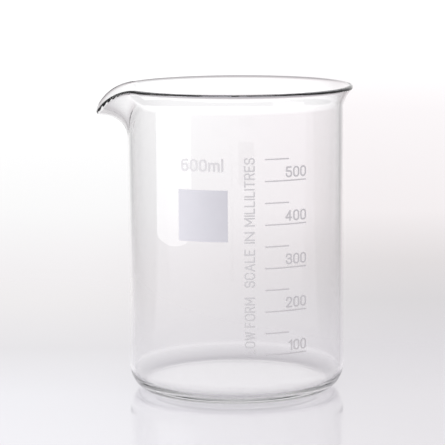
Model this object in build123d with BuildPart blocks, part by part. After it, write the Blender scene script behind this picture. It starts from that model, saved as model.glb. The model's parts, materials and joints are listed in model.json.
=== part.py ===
"""Low-form 600 ml laboratory beaker with a pouring spout and a printed enamel scale.

Millimetres. The axis of the beaker is Z, the origin is the middle of the underside, the spout points
to -X and the print faces -Y. The glass is one piece; each enamel mark is a thin skin on its outside.
"""

import os
from math import cos, pi, radians, sin, tan

from build123d import *

# Glass body
OUTSIDE_RADIUS = 44.5
HEIGHT = 125.7
WALL = 1.8
FLOOR = 3.4
INSIDE_RADIUS = OUTSIDE_RADIUS - WALL

# Heel: a quarter ellipse outside and another inside
FOOT_RADIUS = 37.0
HEEL_HEIGHT = 10.5
INNER_FOOT_RADIUS = 38.0
INNER_HEEL_TOP = 9.5

# The wall is a plain cylinder up to here; above it come the flare, the rim and the spout
SHOULDER = 100.0

# Rim: middle of the rounded edge, its radius, and how far the wall has turned outwards there
RIM_BEAD = 1.0
RIM_EDGE_RADIUS = 47.2
RIM_EDGE_HEIGHT = HEIGHT - RIM_BEAD
RIM_TURN = 40.0
RIM_BEND_RADIUS = 9.0

# Spout: the same four values at its middle, then its half width and the shape of its outline
SPOUT_BEAD = 1.2
SPOUT_EDGE_RADIUS = 56.0
SPOUT_EDGE_HEIGHT = 115.4
SPOUT_TURN = 88.0
SPOUT_BEND_RADIUS = 10.9
SPOUT_AZIMUTH = 180.0
SPOUT_HALF_ANGLE = 32.0
REACH_FLATNESS = 2.58
REACH_SHARPNESS = 3.0
DROP_FLATNESS = 1.90
DROP_SHARPNESS = 4.0
SECTIONS_PER_HALF = 12
PLAIN_SECTIONS = 2
SEAM_TOLERANCE = 0.001

# Enamel print: a film on the outside, laid out in arc length from the middle of the print
FILM = 0.08
FRONT_AZIMUTH = 270.0
PRINT_EDGE = 27.0
LINE_START = 8.5
MINOR_LENGTH = 10.3
LINE_WIDTH = 0.5
FIRST_LINE_ML = 100
LAST_LINE_ML = 550
LINE_STEP_ML = 50
NUMERAL_STEP_ML = 100
LAST_NUMERAL_ML = 500
CUBIC_MM_PER_ML = 1000.0

# Gap between letters, as a share of their height
LETTER_GAP = 0.11

NUMERAL_HEIGHT = 4.4
NUMERAL_RISE = 1.2
NUMERAL_STROKE = 0.66

PANEL_SIDE = 20.6
PANEL_BOTTOM = 67.0
CAPACITY_START = -25.7
CAPACITY_LENGTH = 17.6
CAPACITY_BOTTOM = 94.9
CAPACITY_HEIGHT = 5.0
CAPACITY_STROKE = 0.84

LEGEND_BASELINE = 4.4
LEGEND_HEIGHT = 4.3
LEGEND_STROKE = 0.58
LEGEND_GROUPS = {
    "inscription_form": (("LOW", 21.65, 9.2), ("FORM", 32.6, 12.1)),
    "inscription_scale": (("SCALE", 48.7, 15.3),),
    "inscription_unit": (("IN", 66.4, 4.6), ("MILLILITRES", 73.2, 27.3)),
}

# Stroke letters, one unit high. Each is a width, then its strokes as (bend radius, closed, points).
GLYPHS = {
    "0": (0.60, [(0.29, True, [(0, 0), (0.6, 0), (0.6, 1), (0, 1)])]),
    "1": (0.30, [(0, False, [(0, 0.76), (0.3, 1), (0.3, 0)])]),
    "2": (
        0.60,
        [
            (0.27, False, [(0, 0.7), (0, 1), (0.6, 1), (0.6, 0.62), (0, 0)]),
            (0, False, [(0, 0), (0.6, 0)]),
        ],
    ),
    "3": (
        0.60,
        [
            (0.21, False, [(0, 0.76), (0, 1), (0.56, 1), (0.56, 0.54), (0.2, 0.54)]),
            (0.26, False, [(0.2, 0.54), (0.6, 0.54), (0.6, 0), (0, 0), (0, 0.28)]),
        ],
    ),
    "4": (
        0.66,
        [
            (0, False, [(0.48, 0), (0.48, 1), (0, 0.27)]),
            (0, False, [(0, 0.27), (0.66, 0.27)]),
        ],
    ),
    "5": (
        0.60,
        [
            (0, False, [(0.55, 1), (0.06, 1), (0.02, 0.6)]),
            (0.27, False, [(0.02, 0.6), (0.6, 0.6), (0.6, 0), (0, 0), (0, 0.3)]),
        ],
    ),
    "6": (
        0.60,
        [
            (0.28, True, [(0, 0), (0.6, 0), (0.6, 0.6), (0, 0.6)]),
            (0.3, False, [(0.56, 1), (0, 1), (0, 0.3)]),
        ],
    ),
    "A": (
        0.70,
        [
            (0, False, [(0, 0), (0.35, 1), (0.7, 0)]),
            (0, False, [(0.12, 0.34), (0.58, 0.34)]),
        ],
    ),
    "C": (0.66, [(0.31, False, [(0.66, 0.67), (0.66, 1), (0, 1), (0, 0), (0.66, 0), (0.66, 0.33)])]),
    "E": (
        0.54,
        [
            (0, False, [(0.54, 1), (0, 1), (0, 0), (0.54, 0)]),
            (0, False, [(0, 0.53), (0.46, 0.53)]),
        ],
    ),
    "F": (
        0.50,
        [
            (0, False, [(0.5, 1), (0, 1), (0, 0)]),
            (0, False, [(0, 0.52), (0.42, 0.52)]),
        ],
    ),
    "I": (0.00, [(0, False, [(0, 0), (0, 1)])]),
    "L": (0.50, [(0, False, [(0, 1), (0, 0), (0.5, 0)])]),
    "M": (0.82, [(0, False, [(0, 0), (0, 1), (0.41, 0.3), (0.82, 1), (0.82, 0)])]),
    "N": (0.64, [(0, False, [(0, 0), (0, 1), (0.64, 0), (0.64, 1)])]),
    "O": (0.74, [(0.35, True, [(0, 0), (0.74, 0), (0.74, 1), (0, 1)])]),
    "R": (
        0.60,
        [
            (0.22, False, [(0, 1), (0.58, 1), (0.58, 0.5), (0, 0.5)]),
            (0, False, [(0, 0), (0, 1)]),
            (0, False, [(0.34, 0.5), (0.6, 0)]),
        ],
    ),
    "S": (
        0.58,
        [
            (
                0.23,
                False,
                [(0.58, 0.75), (0.58, 1), (0, 1), (0, 0.52), (0.58, 0.52), (0.58, 0), (0, 0), (0, 0.25)],
            ),
        ],
    ),
    "T": (
        0.60,
        [
            (0, False, [(0, 1), (0.6, 1)]),
            (0, False, [(0.3, 1), (0.3, 0)]),
        ],
    ),
    "W": (0.96, [(0, False, [(0, 1), (0.24, 0), (0.48, 0.9), (0.72, 0), (0.96, 1)])]),
    "m": (
        0.92,
        [
            (0, False, [(0, 0), (0, 0.7)]),
            (0.2, False, [(0, 0.4), (0, 0.7), (0.46, 0.7), (0.46, 0)]),
            (0.2, False, [(0.46, 0.4), (0.46, 0.7), (0.92, 0.7), (0.92, 0)]),
        ],
    ),
    "l": (0.00, [(0, False, [(0, 0), (0, 1.06)])]),
}


def blend(start, end, share):
    """Value on the way from start to end."""
    return start + (end - start) * share


def upright_plane(azimuth):
    """Plane through the axis: local x points outwards at the azimuth, local y is up."""
    angle = radians(azimuth)
    return Plane(origin=(0, 0, 0), x_dir=(cos(angle), sin(angle), 0), z_dir=(sin(angle), -cos(angle), 0))


def lip_sketch(azimuth):
    """Section of the wall from the shoulder to the lip, at one azimuth."""
    share = min(abs(azimuth - SPOUT_AZIMUTH) / SPOUT_HALF_ANGLE, 1.0)
    reach = (1 - share**REACH_FLATNESS) ** REACH_SHARPNESS
    drop = (1 - share**DROP_FLATNESS) ** DROP_SHARPNESS
    bead = blend(RIM_BEAD, SPOUT_BEAD, drop)
    turn = radians(blend(RIM_TURN, SPOUT_TURN, reach))
    bend_radius = blend(RIM_BEND_RADIUS, SPOUT_BEND_RADIUS, reach)
    edge = Vector(
        blend(RIM_EDGE_RADIUS, SPOUT_EDGE_RADIUS, reach),
        blend(RIM_EDGE_HEIGHT, SPOUT_EDGE_HEIGHT, drop),
    )
    along = Vector(sin(turn), cos(turn))
    across = Vector(cos(turn), -sin(turn))
    # The middle line is an upright, then a bend, then a straight run to the edge
    run = (edge.X - OUTSIDE_RADIUS + WALL / 2 - bend_radius * (1 - cos(turn))) / sin(turn)
    bend_height = edge.Y - bend_radius * sin(turn) - run * cos(turn)
    handle = 4 / 3 * tan(turn / 4)
    outer_end = edge + across * bead
    inner_end = edge - across * bead
    outer_reach = handle * (bend_radius - WALL / 2)
    inner_reach = handle * (bend_radius + WALL / 2)
    with BuildSketch(upright_plane(azimuth)) as section:
        with BuildLine():
            Line((OUTSIDE_RADIUS, SHOULDER), (OUTSIDE_RADIUS, bend_height))
            Bezier(
                (OUTSIDE_RADIUS, bend_height),
                (OUTSIDE_RADIUS, bend_height + outer_reach),
                outer_end - along * (outer_reach + run),
                outer_end,
            )
            ThreePointArc(outer_end, edge + along * bead, inner_end)
            Bezier(
                inner_end,
                inner_end - along * (inner_reach + run),
                (INSIDE_RADIUS, bend_height + inner_reach),
                (INSIDE_RADIUS, bend_height),
            )
            Line((INSIDE_RADIUS, bend_height), (INSIDE_RADIUS, SHOULDER))
            Line((INSIDE_RADIUS, SHOULDER), (OUTSIDE_RADIUS, SHOULDER))
        make_face()
    return section.sketch


def stroke_face(points, bend, closed, width):
    """One pen stroke: a path with rounded bends and a round pen of the given width."""
    if bend:
        path = FilletPolyline(*points, radius=bend, close=closed, mode=Mode.PRIVATE)
    else:
        path = Polyline(*points, close=closed, mode=Mode.PRIVATE)
    wire = path.wire()
    if not closed:
        return Face(wire.offset_2d(width / 2))
    return Face(wire.offset_2d(width / 2), [wire.offset_2d(-width / 2)])


def letter_width(text):
    """Width of the bare strokes of a text, for letters one unit high."""
    return sum(GLYPHS[letter][0] for letter in text)


def text_length(text, height, stroke):
    """Length of a text at the letters' own widths."""
    gaps = LETTER_GAP * height * (len(text) - 1)
    return letter_width(text) * (height - stroke) + stroke * len(text) + gaps


def text_faces(text, height, stroke, length):
    """Stroke lettering from (0, 0), its letters widened or narrowed to fill the length."""
    rise = height - stroke
    gap = LETTER_GAP * height
    width_scale = (length - stroke * len(text) - gap * (len(text) - 1)) / letter_width(text)
    faces = []
    start = stroke / 2
    for letter in text:
        width, strokes = GLYPHS[letter]
        for bend, closed, points in strokes:
            moved = [(start + x * width_scale, stroke / 2 + y * rise) for x, y in points]
            faces.append(stroke_face(moved, bend * min(width_scale, rise), closed, stroke))
        start += width * width_scale + stroke + gap
    return faces


def tangent_plane(arc, height, upright):
    """Plane at the axis that faces outwards where the print is arc millimetres from its middle."""
    azimuth = FRONT_AZIMUTH + arc / OUTSIDE_RADIUS * 180 / pi
    angle = radians(azimuth)
    if upright:
        reading = (0, 0, 1)
    else:
        reading = (-sin(angle), cos(angle), 0)
    return Plane(origin=(0, 0, height), x_dir=reading, z_dir=(cos(angle), sin(angle), 0))


def write_part(builder, node):
    """Label the part with its node name and write it."""
    builder.part.label = node
    export_step(builder.part, f"parts/{node}.step")


os.makedirs("parts", exist_ok=True)

# Glass: floor, heel and straight wall all the way round
with BuildSketch(Plane.XZ) as body_sketch:
    with BuildLine():
        Line((0, 0), (FOOT_RADIUS, 0))
        EllipticalCenterArc(
            (FOOT_RADIUS, HEEL_HEIGHT),
            OUTSIDE_RADIUS - FOOT_RADIUS,
            HEEL_HEIGHT,
            start_angle=270,
            arc_size=90,
        )
        Line((OUTSIDE_RADIUS, HEEL_HEIGHT), (OUTSIDE_RADIUS, SHOULDER))
        Line((OUTSIDE_RADIUS, SHOULDER), (INSIDE_RADIUS, SHOULDER))
        Line((INSIDE_RADIUS, SHOULDER), (INSIDE_RADIUS, INNER_HEEL_TOP))
        EllipticalCenterArc(
            (INNER_FOOT_RADIUS, INNER_HEEL_TOP),
            INSIDE_RADIUS - INNER_FOOT_RADIUS,
            INNER_HEEL_TOP - FLOOR,
            start_angle=270,
            arc_size=90,
        )
        Line((INNER_FOOT_RADIUS, FLOOR), (0, FLOOR))
        Line((0, FLOOR), (0, 0))
    make_face()

section_step = SPOUT_HALF_ANGLE / SECTIONS_PER_HALF
last_section = SECTIONS_PER_HALF + PLAIN_SECTIONS
spout_sketches = [
    lip_sketch(SPOUT_AZIMUTH + index * section_step) for index in range(-last_section, last_section + 1)
]
sector_half_angle = last_section * section_step

with BuildPart() as lower_glass:
    revolve(body_sketch.sketch, axis=Axis.Z)

# The rim and flare, all round but for the spout's sector
with BuildPart() as rim_glass:
    revolve(spout_sketches[-1], axis=Axis.Z, revolution_arc=360 - 2 * sector_half_angle)

with BuildPart() as spout_glass:
    loft(spout_sketches)

# The loft's foot is a fitted curve, a hair off the true circle, so the three join with a tolerance
joined_glass = lower_glass.part.fuse(rim_glass.part, spout_glass.part, tol=SEAM_TOLERANCE)
with BuildPart() as glass_vessel:
    add(joined_glass)
write_part(glass_vessel, "glass_vessel")

# Enamel: every mark is a piece of this film
with BuildPart() as film_shell:
    Cylinder(OUTSIDE_RADIUS + FILM, SHOULDER + CAPACITY_HEIGHT, align=(Align.CENTER, Align.CENTER, Align.MIN))
    Cylinder(
        OUTSIDE_RADIUS,
        SHOULDER + CAPACITY_HEIGHT,
        align=(Align.CENTER, Align.CENTER, Align.MIN),
        mode=Mode.SUBTRACT,
    )


def film_patch(arc, bottom, length, height):
    """Rectangle of film, from its left end and bottom edge, bent round the glass."""
    start_azimuth = FRONT_AZIMUTH + arc / OUTSIDE_RADIUS * 180 / pi
    with BuildSketch(upright_plane(start_azimuth)) as strip:
        with BuildLine():
            Polyline(
                (OUTSIDE_RADIUS, bottom),
                (OUTSIDE_RADIUS + FILM, bottom),
                (OUTSIDE_RADIUS + FILM, bottom + height),
                (OUTSIDE_RADIUS, bottom + height),
                close=True,
            )
        make_face()
    with BuildPart() as patch:
        revolve(strip.sketch, axis=Axis.Z, revolution_arc=length / OUTSIDE_RADIUS * 180 / pi)
    return patch


def film_text(plane, faces_by_start):
    """Lettering of film. Each entry is where the word starts on the plane and its flat faces."""
    with BuildSketch(plane) as outline:
        for start, faces in faces_by_start:
            for face in faces:
                add(face.moved(Location((start, 0, 0))))
    with BuildPart() as lettering:
        extrude(outline.sketch, amount=OUTSIDE_RADIUS + 2 * FILM)
        add(film_shell.part, mode=Mode.INTERSECT)
    return lettering


write_part(film_patch(-PRINT_EDGE, PANEL_BOTTOM, PANEL_SIDE, PANEL_SIDE), "marking_panel")

capacity_plane = tangent_plane(CAPACITY_START + CAPACITY_LENGTH / 2, CAPACITY_BOTTOM, upright=False)
capacity_faces = text_faces("600ml", CAPACITY_HEIGHT, CAPACITY_STROKE, CAPACITY_LENGTH)
write_part(film_text(capacity_plane, [(-CAPACITY_LENGTH / 2, capacity_faces)]), "capacity_mark")

# The legend reads upwards, with the feet of its letters on the right
legend_plane = tangent_plane(LEGEND_BASELINE, 0, upright=True)
for node, words in LEGEND_GROUPS.items():
    placed = []
    for word, start, length in words:
        placed.append((start, text_faces(word, LEGEND_HEIGHT, LEGEND_STROKE, length)))
    write_part(film_text(legend_plane, placed), node)

# Scale: each line stands where the bowl holds that much, less what the rounded inner heel takes away
bowl_area = pi * INSIDE_RADIUS**2
heel_width = INSIDE_RADIUS - INNER_FOOT_RADIUS
heel_corner_area = (1 - pi / 4) * heel_width * (INNER_HEEL_TOP - FLOOR)
heel_corner_radius = INNER_FOOT_RADIUS + heel_width / 6 / (1 - pi / 4)
heel_volume = 2 * pi * heel_corner_radius * heel_corner_area
for volume_ml in range(FIRST_LINE_ML, LAST_LINE_ML + 1, LINE_STEP_ML):
    line_height = FLOOR + (volume_ml * CUBIC_MM_PER_ML + heel_volume) / bowl_area
    if volume_ml % NUMERAL_STEP_ML:
        line_length = MINOR_LENGTH
    else:
        line_length = PRINT_EDGE - LINE_START
    line_patch = film_patch(LINE_START, line_height - LINE_WIDTH / 2, line_length, LINE_WIDTH)
    write_part(line_patch, f"graduation_line_{volume_ml}")
    if volume_ml % NUMERAL_STEP_ML == 0 and volume_ml <= LAST_NUMERAL_ML:
        numeral = str(volume_ml)
        numeral_length = text_length(numeral, NUMERAL_HEIGHT, NUMERAL_STROKE)
        numeral_middle = PRINT_EDGE - numeral_length / 2
        numeral_plane = tangent_plane(numeral_middle, line_height + NUMERAL_RISE, upright=False)
        numeral_faces = text_faces(numeral, NUMERAL_HEIGHT, NUMERAL_STROKE, numeral_length)
        write_part(film_text(numeral_plane, [(-numeral_length / 2, numeral_faces)]), f"numeral_{volume_ml}")
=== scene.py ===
"""Looks of the beaker: one smooth mesh of glass, fired enamel on the print, and a pale studio stage.

Metres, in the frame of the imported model: the axis is Z, the spout points to -X and the print faces -Y.
"""

import json
from math import cos, pi, radians, sin, tan

import bpy
import numpy as np
from mathutils import Matrix, Vector

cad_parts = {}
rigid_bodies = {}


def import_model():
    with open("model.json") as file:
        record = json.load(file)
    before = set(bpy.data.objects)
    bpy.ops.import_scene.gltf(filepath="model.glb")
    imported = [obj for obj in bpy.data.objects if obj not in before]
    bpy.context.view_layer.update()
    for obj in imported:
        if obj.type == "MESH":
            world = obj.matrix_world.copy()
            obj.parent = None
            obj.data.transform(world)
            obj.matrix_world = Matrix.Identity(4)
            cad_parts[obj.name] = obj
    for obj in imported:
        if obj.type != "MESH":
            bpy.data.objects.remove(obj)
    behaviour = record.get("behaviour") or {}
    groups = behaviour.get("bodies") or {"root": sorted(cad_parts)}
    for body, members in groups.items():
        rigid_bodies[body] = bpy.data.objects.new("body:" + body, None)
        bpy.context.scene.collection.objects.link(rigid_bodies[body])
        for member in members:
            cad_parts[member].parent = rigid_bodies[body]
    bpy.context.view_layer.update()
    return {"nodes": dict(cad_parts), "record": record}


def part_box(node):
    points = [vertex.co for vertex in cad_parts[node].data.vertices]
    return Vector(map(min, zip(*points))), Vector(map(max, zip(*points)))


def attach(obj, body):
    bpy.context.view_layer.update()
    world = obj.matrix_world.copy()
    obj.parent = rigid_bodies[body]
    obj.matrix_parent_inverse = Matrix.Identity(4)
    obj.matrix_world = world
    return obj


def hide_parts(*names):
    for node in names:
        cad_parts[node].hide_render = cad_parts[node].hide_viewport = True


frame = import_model()
MM = 0.001

# ---------------------------------------------------------------------------------------------------------
# Sizes, from the frame where it has them; the curves of the heel, rim and spout follow the CAD solid
# ---------------------------------------------------------------------------------------------------------
mounts = {mount["name"]: mount for mount in frame["record"]["mounts"]}
OUTSIDE_RADIUS = mounts["outside_wall"]["dims"]["r_mm"] * MM
INSIDE_RADIUS = mounts["interior"]["dims"]["r_mm"] * MM
WALL = OUTSIDE_RADIUS - INSIDE_RADIUS
glass_low, glass_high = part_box("glass_vessel")
FLOOR = 3.4 * MM
FOOT_RADIUS = 37.0 * MM
HEEL_HEIGHT = 10.5 * MM
INNER_FOOT_RADIUS = 38.0 * MM
INNER_HEEL_TOP = 9.5 * MM

RIM_BEAD = 1.0 * MM
RIM_EDGE_RADIUS = glass_high[0] - RIM_BEAD
RIM_EDGE_HEIGHT = 124.7 * MM
RIM_TURN = 40.0
RIM_BEND_RADIUS = 9.0 * MM
SPOUT_BEAD = 1.2 * MM
SPOUT_EDGE_RADIUS = -glass_low[0] - SPOUT_BEAD
SPOUT_EDGE_HEIGHT = 115.4 * MM
SPOUT_TURN = 88.0
SPOUT_BEND_RADIUS = 10.9 * MM
SPOUT_HALF_ANGLE = radians(32.0)
REACH_FLATNESS = 2.58
REACH_SHARPNESS = 3.0
DROP_FLATNESS = 1.90
DROP_SHARPNESS = 4.0

# ---------------------------------------------------------------------------------------------------------
# Glass mesh: the same section all round, and the rim's edge moved out and down over the spout
# ---------------------------------------------------------------------------------------------------------
COLUMNS = 512
HEEL_STEPS = 28
WALL_STEPS = 24
BEND_STEPS = 26
BEAD_STEPS = 16
FLOOR_STEPS = 10


def blend(start, end, share):
    """Value on the way from start to end."""
    return start + (end - start) * share


def straight(start, end, steps):
    """Points from start up to but not including end."""
    return [blend(start, end, index / steps) for index in range(steps)]


def ellipse(middle, width, height, start, end, steps):
    """Points on an ellipse between two angles in degrees, without the last one."""
    angles = [radians(blend(start, end, index / steps)) for index in range(steps)]
    return [middle + np.array((width * cos(angle), height * sin(angle))) for angle in angles]


def bezier(first, second, third, fourth, steps):
    """Points on a cubic curve, without the last one."""
    points = []
    for index in range(steps):
        t = index / steps
        weights = ((1 - t) ** 3, 3 * t * (1 - t) ** 2, 3 * t**2 * (1 - t), t**3)
        points.append(sum(w * p for w, p in zip(weights, (first, second, third, fourth))))
    return points


def glass_section(share):
    """Radius and height round the glass's section; share is 0 at the spout's middle and 1 outside it."""
    reach = (1 - share**REACH_FLATNESS) ** REACH_SHARPNESS
    drop = (1 - share**DROP_FLATNESS) ** DROP_SHARPNESS
    bead = blend(RIM_BEAD, SPOUT_BEAD, drop)
    turn = radians(blend(RIM_TURN, SPOUT_TURN, reach))
    bend_radius = blend(RIM_BEND_RADIUS, SPOUT_BEND_RADIUS, reach)
    edge_radius = blend(RIM_EDGE_RADIUS, SPOUT_EDGE_RADIUS, reach)
    edge_height = blend(RIM_EDGE_HEIGHT, SPOUT_EDGE_HEIGHT, drop)
    edge = np.array((edge_radius, edge_height))
    along = np.array((sin(turn), cos(turn)))
    across = np.array((cos(turn), -sin(turn)))
    run = (edge[0] - OUTSIDE_RADIUS + WALL / 2 - bend_radius * (1 - cos(turn))) / sin(turn)
    bend_height = edge[1] - bend_radius * sin(turn) - run * cos(turn)
    handle = 4 / 3 * tan(turn / 4)
    outer_reach = handle * (bend_radius - WALL / 2)
    inner_reach = handle * (bend_radius + WALL / 2)
    outer_end = edge + across * bead
    inner_end = edge - across * bead
    up = np.array((0, 1))
    outer_start = np.array((OUTSIDE_RADIUS, bend_height))
    inner_start = np.array((INSIDE_RADIUS, bend_height))
    outer_middle = np.array((FOOT_RADIUS, HEEL_HEIGHT))
    inner_middle = np.array((INNER_FOOT_RADIUS, INNER_HEEL_TOP))
    bead_angles = [pi * (index / BEAD_STEPS) for index in range(BEAD_STEPS)]
    points = straight(np.array((0.0, 0.0)), np.array((FOOT_RADIUS, 0.0)), FLOOR_STEPS)[1:]
    points += ellipse(outer_middle, OUTSIDE_RADIUS - FOOT_RADIUS, HEEL_HEIGHT, 270, 360, HEEL_STEPS)
    points += straight(np.array((OUTSIDE_RADIUS, HEEL_HEIGHT)), outer_start, WALL_STEPS)
    points += bezier(
        outer_start,
        outer_start + up * outer_reach,
        outer_end - along * (outer_reach + run),
        outer_end,
        BEND_STEPS,
    )
    points += [edge + bead * (across * cos(angle) + along * sin(angle)) for angle in bead_angles]
    points += bezier(
        inner_end,
        inner_end - along * (inner_reach + run),
        inner_start + up * inner_reach,
        inner_start,
        BEND_STEPS,
    )
    points += straight(inner_start, np.array((INSIDE_RADIUS, INNER_HEEL_TOP)), WALL_STEPS)
    inner_width = INSIDE_RADIUS - INNER_FOOT_RADIUS
    points += ellipse(inner_middle, inner_width, INNER_HEEL_TOP - FLOOR, 0, -90, HEEL_STEPS)
    points += straight(np.array((INNER_FOOT_RADIUS, FLOOR)), np.array((0.0, FLOOR)), FLOOR_STEPS)
    return points


def glass_mesh():
    """Closed skin of the glass: rings of quads between two poles, all facing out of the glass."""
    vertices = []
    for column in range(COLUMNS):
        azimuth = 2 * pi * column / COLUMNS
        share = min(abs(azimuth - pi) / SPOUT_HALF_ANGLE, 1.0)
        section = glass_section(share)
        vertices += [(r * cos(azimuth), r * sin(azimuth), z) for r, z in section]
    rows = len(vertices) // COLUMNS
    under_pole = len(vertices)
    vertices += [(0, 0, 0), (0, 0, FLOOR)]
    faces = []
    for column in range(COLUMNS):
        here = column * rows
        there = (column + 1) % COLUMNS * rows
        faces.append((under_pole, there, here))
        for row in range(rows - 1):
            faces.append((here + row, there + row, there + row + 1, here + row + 1))
        faces.append((under_pole + 1, here + rows - 1, there + rows - 1))
    mesh = bpy.data.meshes.new("glass_vessel_skin")
    mesh.from_pydata(vertices, [], faces)
    mesh.polygons.foreach_set("use_smooth", [True] * len(faces))
    mesh.update()
    return mesh


# ---------------------------------------------------------------------------------------------------------
# Materials
# ---------------------------------------------------------------------------------------------------------
def new_material(name):
    """A node material, its nodes, its links and its Principled shader."""
    material = bpy.data.materials.new(name)
    material.use_nodes = True
    tree = material.node_tree
    return material, tree.nodes, tree.links, tree.nodes["Principled BSDF"]


def noise(nodes, links, scale, detail, stretch=(1, 1, 1)):
    """Noise in the object's own space, stretched along its axes."""
    place = nodes.new("ShaderNodeTexCoord")
    shape = nodes.new("ShaderNodeMapping")
    shape.inputs["Scale"].default_value = stretch
    texture = nodes.new("ShaderNodeTexNoise")
    texture.inputs["Scale"].default_value = scale
    texture.inputs["Detail"].default_value = detail
    links.new(place.outputs["Object"], shape.inputs["Vector"])
    links.new(shape.outputs["Vector"], texture.inputs["Vector"])
    return texture


def map_range(nodes, links, source, start, end, low, high, smooth=False):
    """A value between start and end carried over to between low and high, and held at both ends."""
    node = nodes.new("ShaderNodeMapRange")
    if smooth:
        node.interpolation_type = "SMOOTHSTEP"
    node.inputs["From Min"].default_value = start
    node.inputs["From Max"].default_value = end
    node.inputs["To Min"].default_value = low
    node.inputs["To Max"].default_value = high
    links.new(source, node.inputs["Value"])
    return node.outputs["Result"]


def spread(nodes, links, source, low, high):
    """A 0 to 1 value spread between low and high."""
    return map_range(nodes, links, source, 0.0, 1.0, low, high)


def bump(nodes, links, source, strength, distance, shader):
    """Bump from a value."""
    node = nodes.new("ShaderNodeBump")
    node.inputs["Strength"].default_value = strength
    node.inputs["Distance"].default_value = distance
    links.new(source, node.inputs["Height"])
    links.new(node.outputs["Normal"], shader.inputs["Normal"])


def glass_material():
    """Clear borosilicate: the faint long waves of drawn glass, and a touch of handling on its polish."""
    material, nodes, links, shader = new_material("borosilicate_glass")
    shader.inputs["Base Color"].default_value = (0.992, 0.988, 0.992, 1)
    shader.inputs["Transmission Weight"].default_value = 1.0
    shader.inputs["IOR"].default_value = 1.473
    waves = noise(nodes, links, 22, 1.0, (1, 1, 0.25))
    bump(nodes, links, waves.outputs["Fac"], 0.25, 0.00006, shader)
    film = noise(nodes, links, 60, 3.0)
    links.new(spread(nodes, links, film.outputs["Fac"], 0.0, 0.012), shader.inputs["Roughness"])
    return material


def enamel_material(name, thin, thick):
    """Fired enamel: a satin skin with a fine grain from the screen it was printed through."""
    material, nodes, links, shader = new_material(name)
    shader.inputs["Specular IOR Level"].default_value = 0.45
    patches = noise(nodes, links, 140, 4.0)
    ramp = nodes.new("ShaderNodeValToRGB")
    ramp.color_ramp.elements[0].color = (*thin, 1)
    ramp.color_ramp.elements[1].color = (*thick, 1)
    links.new(patches.outputs["Fac"], ramp.inputs["Fac"])
    links.new(ramp.outputs["Color"], shader.inputs["Base Color"])
    grain = noise(nodes, links, 2600, 2.0)
    links.new(spread(nodes, links, grain.outputs["Fac"], 0.38, 0.55), shader.inputs["Roughness"])
    bump(nodes, links, grain.outputs["Fac"], 0.3, 0.00002, shader)
    return material


glass = glass_material()
# Each enamel goes from a thinner to a thicker coat; the square is a little blue, the words are the palest
panel_enamel = enamel_material("fired_enamel_panel", (0.84, 0.83, 0.88), (0.90, 0.89, 0.94))
line_enamel = enamel_material("fired_enamel_lines", (0.92, 0.89, 0.91), (0.95, 0.93, 0.94))
legend_enamel = enamel_material("fired_enamel_legend", (0.93, 0.91, 0.92), (0.95, 0.93, 0.94))


def enamel_for(node_name):
    """The enamel of one printed mark."""
    if node_name == "marking_panel":
        return panel_enamel
    if node_name.startswith(("inscription", "capacity")):
        return legend_enamel
    return line_enamel


vessel = bpy.data.objects.new("glass_vessel_visual", glass_mesh())
bpy.context.scene.collection.objects.link(vessel)
vessel.data.materials.append(glass)
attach(vessel, "root")
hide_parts("glass_vessel")
for part in frame["record"]["subparts"]:
    if part["material_slot"] == "enamel":
        node = frame["nodes"][part["node"]]
        for index in range(len(node.material_slots)):
            node.material_slots[index].material = enamel_for(part["node"])

# ---------------------------------------------------------------------------------------------------------
# Camera: a long lens about a metre away, a little above the rim, turned a few degrees towards the spout
# ---------------------------------------------------------------------------------------------------------
CAMERA_DISTANCE = 0.971
CAMERA_HEIGHT = 0.2097
CAMERA_ORBIT = radians(4.0)
CAMERA_PITCH = 0.1444
CAMERA_YAW = -0.0058
CAMERA_ROLL = -0.0056
LENS_MM = 191.7
SENSOR_MM = 36.0

# The stage is laid out square to the camera and turned with it
stage_turn = Matrix.Rotation(-CAMERA_ORBIT, 4, "Z")


def add_camera():
    """Camera aimed by its pitch, yaw and roll."""
    data = bpy.data.cameras.new("camera")
    data.lens = LENS_MM
    data.sensor_width = SENSOR_MM
    thing = bpy.data.objects.new("camera", data)
    level = cos(CAMERA_PITCH)
    ahead = Vector((sin(CAMERA_YAW) * level, cos(CAMERA_YAW) * level, -sin(CAMERA_PITCH)))
    level_right = Vector((cos(CAMERA_YAW), -sin(CAMERA_YAW), 0))
    level_up = level_right.cross(ahead)
    right = cos(CAMERA_ROLL) * level_right + sin(CAMERA_ROLL) * level_up
    up = cos(CAMERA_ROLL) * level_up - sin(CAMERA_ROLL) * level_right
    aim = Matrix((right, up, -ahead)).transposed().to_4x4()
    thing.matrix_world = stage_turn @ Matrix.Translation((0, -CAMERA_DISTANCE, CAMERA_HEIGHT)) @ aim
    bpy.context.scene.collection.objects.link(thing)
    bpy.context.scene.camera = thing


add_camera()
bpy.context.scene.view_settings.view_transform = "Standard"

# ---------------------------------------------------------------------------------------------------------
# Stage: a wide pale glossy floor that glows with painted light and carries painted light and shade in its
# colour, air that is bright straight behind the beaker, and one softbox
# ---------------------------------------------------------------------------------------------------------
FLOOR_GAP = 0.1 * MM
FLOOR_HALF_WIDTH = 6.0
# The floor glows with painted light of this strength, though it is no lamp
FLOOR_PAINTED_GLOW = 0.54
FLOOR_PAINT = 0.32
FLOOR_GRAIN = 40
FLOOR_GRAIN_DETAIL = 2.0
FLOOR_ROUGHNESS = (0.05, 0.07)
BLACK = (0, 0, 0, 1)

# The floor's painted light and shade tones run between these two depths, counted away from the camera with
# the axis at zero
TONES_NEAR = -0.1
TONES_FAR = 1.9
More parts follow.
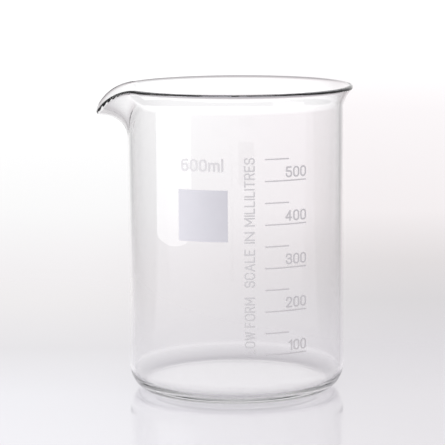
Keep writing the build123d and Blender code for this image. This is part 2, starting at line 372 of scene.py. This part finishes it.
# The left tones, painted light, turn into the right tones, painted shade, within this distance to each side
# of the axis
TONES_CROSSING = 0.1
# Left: lighter, painted light falling from the left, with a painted darker band a little behind the beaker
LEFT_PAINTED_LIGHT_TONES = [
    (0.0, (0.91, 0.90, 0.95)),
    (0.04, (0.85, 0.84, 0.89)),
    (0.09, (0.68, 0.66, 0.69)),
    (0.15, (0.72, 0.69, 0.70)),
    (0.21, (0.73, 0.70, 0.715)),
    (0.31, (0.75, 0.745, 0.75)),
    (0.64, (0.72, 0.72, 0.72)),
    (1.0, (0.86, 0.86, 0.86)),
]
# Right: darker, painted shade on the side away from the light, with the same painted darker band
RIGHT_PAINTED_SHADE_TONES = [
    (0.0, (0.76, 0.73, 0.77)),
    (0.04, (0.70, 0.67, 0.71)),
    (0.09, (0.57, 0.54, 0.58)),
    (0.15, (0.48, 0.45, 0.47)),
    (0.21, (0.515, 0.465, 0.475)),
    (0.31, (0.67, 0.605, 0.62)),
    (0.64, (0.62, 0.56, 0.58)),
    (1.0, (0.68, 0.66, 0.67)),
]

# Half width of the camera's view on the floor, at the beaker and at the far edge of the floor
VIEW_HALF_NEAR = 0.09
VIEW_HALF_FAR = 0.66
# Painted shade darkens the floor at the sides, from the first to the second multiple of that half width, down
# to this side tone
PAINTED_SHADE_START = 1.15
PAINTED_SHADE_END = 3.0
SIDE_PAINTED_SHADE = 0.25
# In front of the beaker the half width grows by this much within this depth, so the painted shade at the
# sides stays off the floor there
FRONT_DEPTH = 0.15
FRONT_EXTRA = 5.0

SOFTBOX_AZIMUTH = radians(-67.5)
SOFTBOX_DISTANCE = 0.45
SOFTBOX_WIDTH = 0.36
SOFTBOX_HEIGHT = 0.3
SOFTBOX_WATTS = 0.8

# Colour of the air by a direction's share along +Y, where 1 is straight behind the beaker
AIR_STOPS = [(0.7, (0.6, 0.6, 0.61)), (0.97, (1.02, 1.02, 1.02))]

# Light that runs along inside the wall turns many times before it comes out
GLASS_BOUNCES = 40


def math_node(nodes, links, operation, *values):
    """Result of one operation on one or two values."""
    node = nodes.new("ShaderNodeMath")
    node.operation = operation
    for index, value in enumerate(values):
        links.new(value, node.inputs[index])
    return node.outputs["Value"]


def mix_node(nodes):
    """A node that mixes two colours."""
    node = nodes.new("ShaderNodeMix")
    node.data_type = "RGBA"
    return node


def colour_ramp(nodes, links, source, stops, interpolation):
    """Colours along a 0 to 1 value; stops are (place, colour)."""
    node = nodes.new("ShaderNodeValToRGB")
    node.color_ramp.interpolation = interpolation
    for index, (position, colour) in enumerate(stops):
        if index < 2:
            element = node.color_ramp.elements[index]
            element.position = position
        else:
            element = node.color_ramp.elements.new(position)
        element.color = (*colour, 1)
    links.new(source, node.inputs["Fac"])
    return node.outputs["Color"]


def floor_painted_light_tone(nodes, links, across, deep):
    """Painted light and shade on the pale floor inside the picture: lighter on the left as painted light,
    darker on the right as painted shade, and a painted darker band just behind the beaker.
    """
    depth = map_range(nodes, links, deep, TONES_NEAR, TONES_FAR, 0.0, 1.0)
    tone = mix_node(nodes)
    side = map_range(nodes, links, across, -TONES_CROSSING, TONES_CROSSING, 0.0, 1.0, smooth=True)
    links.new(side, tone.inputs["Factor"])
    links.new(colour_ramp(nodes, links, depth, LEFT_PAINTED_LIGHT_TONES, "LINEAR"), tone.inputs["A"])
    links.new(colour_ramp(nodes, links, depth, RIGHT_PAINTED_SHADE_TONES, "LINEAR"), tone.inputs["B"])
    return tone.outputs["Result"]


def side_painted_shade(nodes, links, across, deep):
    """Painted shade at the sides: 1 inside the picture and in front of the beaker, falling softly to the side
    tone at both sides behind it.
    """
    half_view = map_range(nodes, links, deep, 0.0, FLOOR_HALF_WIDTH, VIEW_HALF_NEAR, VIEW_HALF_FAR)
    in_front = map_range(nodes, links, deep, -FRONT_DEPTH, 0.0, FRONT_EXTRA, 0.0)
    bright_half = math_node(nodes, links, "ADD", half_view, in_front)
    aside = math_node(nodes, links, "ABSOLUTE", across)
    beyond = math_node(nodes, links, "DIVIDE", aside, bright_half)
    return map_range(nodes, links, beyond, PAINTED_SHADE_START, PAINTED_SHADE_END, 1.0, SIDE_PAINTED_SHADE, smooth=True)


def floor_with_painted_light():
    """Pale glossy floor that glows with painted light in its painted light and shade tones, and takes a share
    of the same tones as its base colour.
    """
    material, nodes, links, shader = new_material("pale_floor_painted_light")
    place = nodes.new("ShaderNodeTexCoord")
    split = nodes.new("ShaderNodeSeparateXYZ")
    links.new(place.outputs["Object"], split.inputs["Vector"])
    across = split.outputs["X"]
    deep = split.outputs["Y"]
    # Painted shade at both sides behind the beaker darkens the painted tones towards black
    dimmed = mix_node(nodes)
    dimmed.inputs["A"].default_value = BLACK
    links.new(side_painted_shade(nodes, links, across, deep), dimmed.inputs["Factor"])
    links.new(floor_painted_light_tone(nodes, links, across, deep), dimmed.inputs["B"])
    # The floor glows with painted light: its emission colour is the painted light and shade tones
    links.new(dimmed.outputs["Result"], shader.inputs["Emission Color"])
    shader.inputs["Emission Strength"].default_value = FLOOR_PAINTED_GLOW
    # The base colour takes a share of the same painted light and shade tones
    paint = mix_node(nodes)
    paint.inputs["Factor"].default_value = FLOOR_PAINT
    paint.inputs["A"].default_value = BLACK
    links.new(dimmed.outputs["Result"], paint.inputs["B"])
    links.new(paint.outputs["Result"], shader.inputs["Base Color"])
    grain = noise(nodes, links, FLOOR_GRAIN, FLOOR_GRAIN_DETAIL)
    links.new(spread(nodes, links, grain.outputs["Fac"], *FLOOR_ROUGHNESS), shader.inputs["Roughness"])
    return material


def add_floor():
    """Square floor, a hair below the beaker's foot."""
    mesh = bpy.data.meshes.new("stage_floor")
    corners = [(-1, -1), (1, -1), (1, 1), (-1, 1)]
    vertices = [(x * FLOOR_HALF_WIDTH, y * FLOOR_HALF_WIDTH, -FLOOR_GAP) for x, y in corners]
    mesh.from_pydata(vertices, [], [(0, 1, 2, 3)])
    floor = bpy.data.objects.new("stage_floor", mesh)
    floor.data.materials.append(floor_with_painted_light())
    floor.matrix_world = stage_turn
    bpy.context.scene.collection.objects.link(floor)


def add_softbox(lit_pieces):
    """Upright area light at the left that stands on the floor, faces the axis and lights only the pieces."""
    light = bpy.data.lights.new("left_softbox", "AREA")
    light.shape = "RECTANGLE"
    light.size = SOFTBOX_WIDTH
    light.size_y = SOFTBOX_HEIGHT
    light.energy = SOFTBOX_WATTS
    thing = bpy.data.objects.new("left_softbox", light)
    across = sin(SOFTBOX_AZIMUTH) * SOFTBOX_DISTANCE
    deep = -cos(SOFTBOX_AZIMUTH) * SOFTBOX_DISTANCE
    aim = Vector((-across, -deep, 0)).to_track_quat("-Z", "Y").to_matrix().to_4x4()
    thing.matrix_world = stage_turn @ Matrix.Translation((across, deep, SOFTBOX_HEIGHT / 2)) @ aim
    # The glass mirrors the light but doesn't show it through the bowl, and the glossy floor doesn't mirror it
    thing.visible_camera = False
    thing.visible_transmission = False
    thing.light_linking.receiver_collection = lit_pieces
    bpy.context.scene.collection.objects.link(thing)


def add_air():
    """Air that is bright straight behind the beaker and evenly dimmer everywhere else."""
    world = bpy.data.worlds.new("studio_air")
    bpy.context.scene.world = world
    world.use_nodes = True
    nodes = world.node_tree.nodes
    links = world.node_tree.links
    place = nodes.new("ShaderNodeTexCoord")
    split = nodes.new("ShaderNodeSeparateXYZ")
    links.new(place.outputs["Generated"], split.inputs["Vector"])
    air = colour_ramp(nodes, links, split.outputs["Y"], AIR_STOPS, "EASE")
    links.new(air, nodes["Background"].inputs["Color"])


beaker_pieces = bpy.data.collections.new("beaker_pieces")
for thing in bpy.context.scene.objects:
    if thing.type == "MESH":
        beaker_pieces.objects.link(thing)
add_floor()
add_softbox(beaker_pieces)
add_air()

light_paths = bpy.context.scene.cycles
light_paths.max_bounces = GLASS_BOUNCES
light_paths.transmission_bounces = GLASS_BOUNCES
light_paths.glossy_bounces = GLASS_BOUNCES
